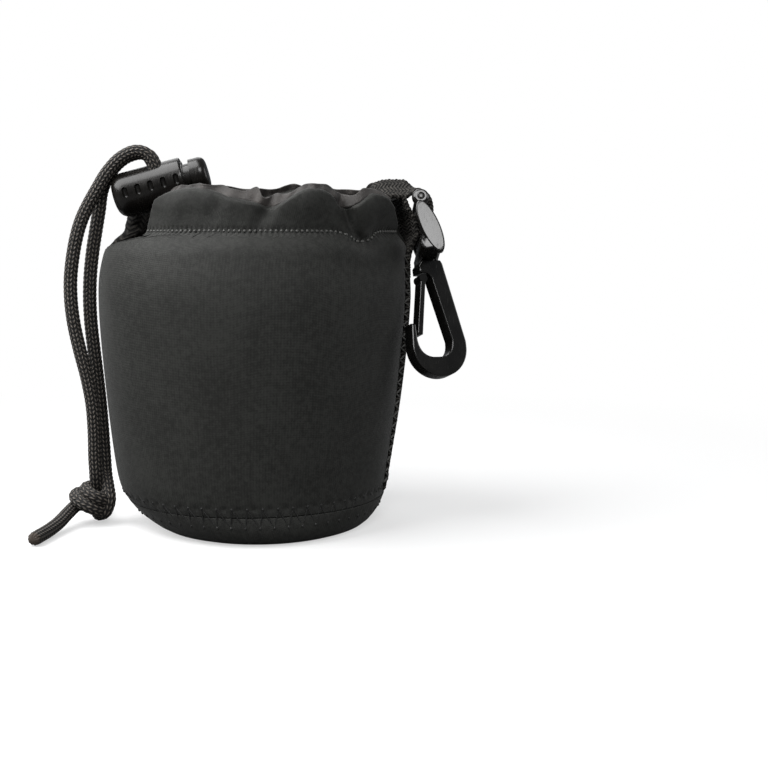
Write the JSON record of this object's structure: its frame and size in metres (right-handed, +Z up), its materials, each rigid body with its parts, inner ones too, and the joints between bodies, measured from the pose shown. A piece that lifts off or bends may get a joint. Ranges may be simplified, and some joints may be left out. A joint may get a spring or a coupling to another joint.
{
  "type": "lens pouch",
  "caption": "Round neoprene drawstring pouch with a sprung cord lock, a knotted drawcord and a swivel snap hook on a side strap.",
  "frame": {"origin": "middle of the flat underside of the base", "axes": "+Z up, +X towards the strap and hook, -Y towards the front panel"},
  "size_m": [0.1232, 0.084, 0.1115],
  "materials": {
    "neoprene": "black knitted face on foam rubber sheet",
    "lining": "soft brushed lining",
    "casing": "thin plain-woven channel cloth",
    "webbing": "ribbed woven tape",
    "cord": "braided polyester cord",
    "lock_plastic": "moulded, semi-gloss",
    "spring_steel": "drawn wire",
    "hook_plastic": "moulded, glossy"
  },
  "bodies": {
    "pouch": {"front_panel": "neoprene", "back_panel": "neoprene", "base_panel": "neoprene", "front_lining": "lining", "back_lining": "lining", "base_lining": "lining", "front_casing": "casing", "back_casing": "casing", "slit_binding": "webbing", "side_strap": "webbing", "drawcord_neck": "cord", "cord_front_lead": "cord", "cord_back_lead": "cord"},
    "drawcord": {"cord_front_strand": "cord", "cord_back_strand": "cord", "cord_knot": "cord", "cord_front_tail": "cord", "cord_back_tail": "cord", "lock_body": "lock_plastic", "lock_spring": "spring_steel"},
    "plunger": {"lock_plunger": "lock_plastic"},
    "eye": {"hook_eye": "hook_plastic"},
    "hook": {"hook_body": "hook_plastic"},
    "gate": {"hook_gate": "hook_plastic"}
  },
  "joints": [
    {"name": "drawcord_pull", "type": "slide", "parent": "pouch", "child": "drawcord", "axis": [-0.2588, 0, 0.9659], "range_m": [0, 0.03]},
    {"name": "lock_press", "type": "slide", "parent": "drawcord", "child": "plunger", "axis": [-0.9659, 0, -0.2588], "range_m": [0, 0.0035], "stiffness_N_per_m": 400, "springref_m": -0.002, "deforming": ["lock_spring"]},
    {"name": "hook_swing", "type": "hinge", "parent": "pouch", "child": "eye", "pos_m": [0.0489, -0.001, 0.093], "axis": [0, -0.9511, 0.309], "range_deg": [0, 100]},
    {"name": "hook_swivel", "type": "hinge", "parent": "eye", "child": "hook", "pos_m": [0.05187, -0.00597, 0.07769], "axis": [-0.0906, 0.3077, 0.9472], "continuous": true},
    {"name": "gate_press", "type": "hinge", "parent": "hook", "child": "gate", "pos_m": [0.04915, -0.00904, 0.07251], "axis": [0.3731, -0.8713, 0.3188], "range_deg": [0, 16], "stiffness_Nm_per_rad": 0.05, "springref_deg": -5.73}
  ]
}
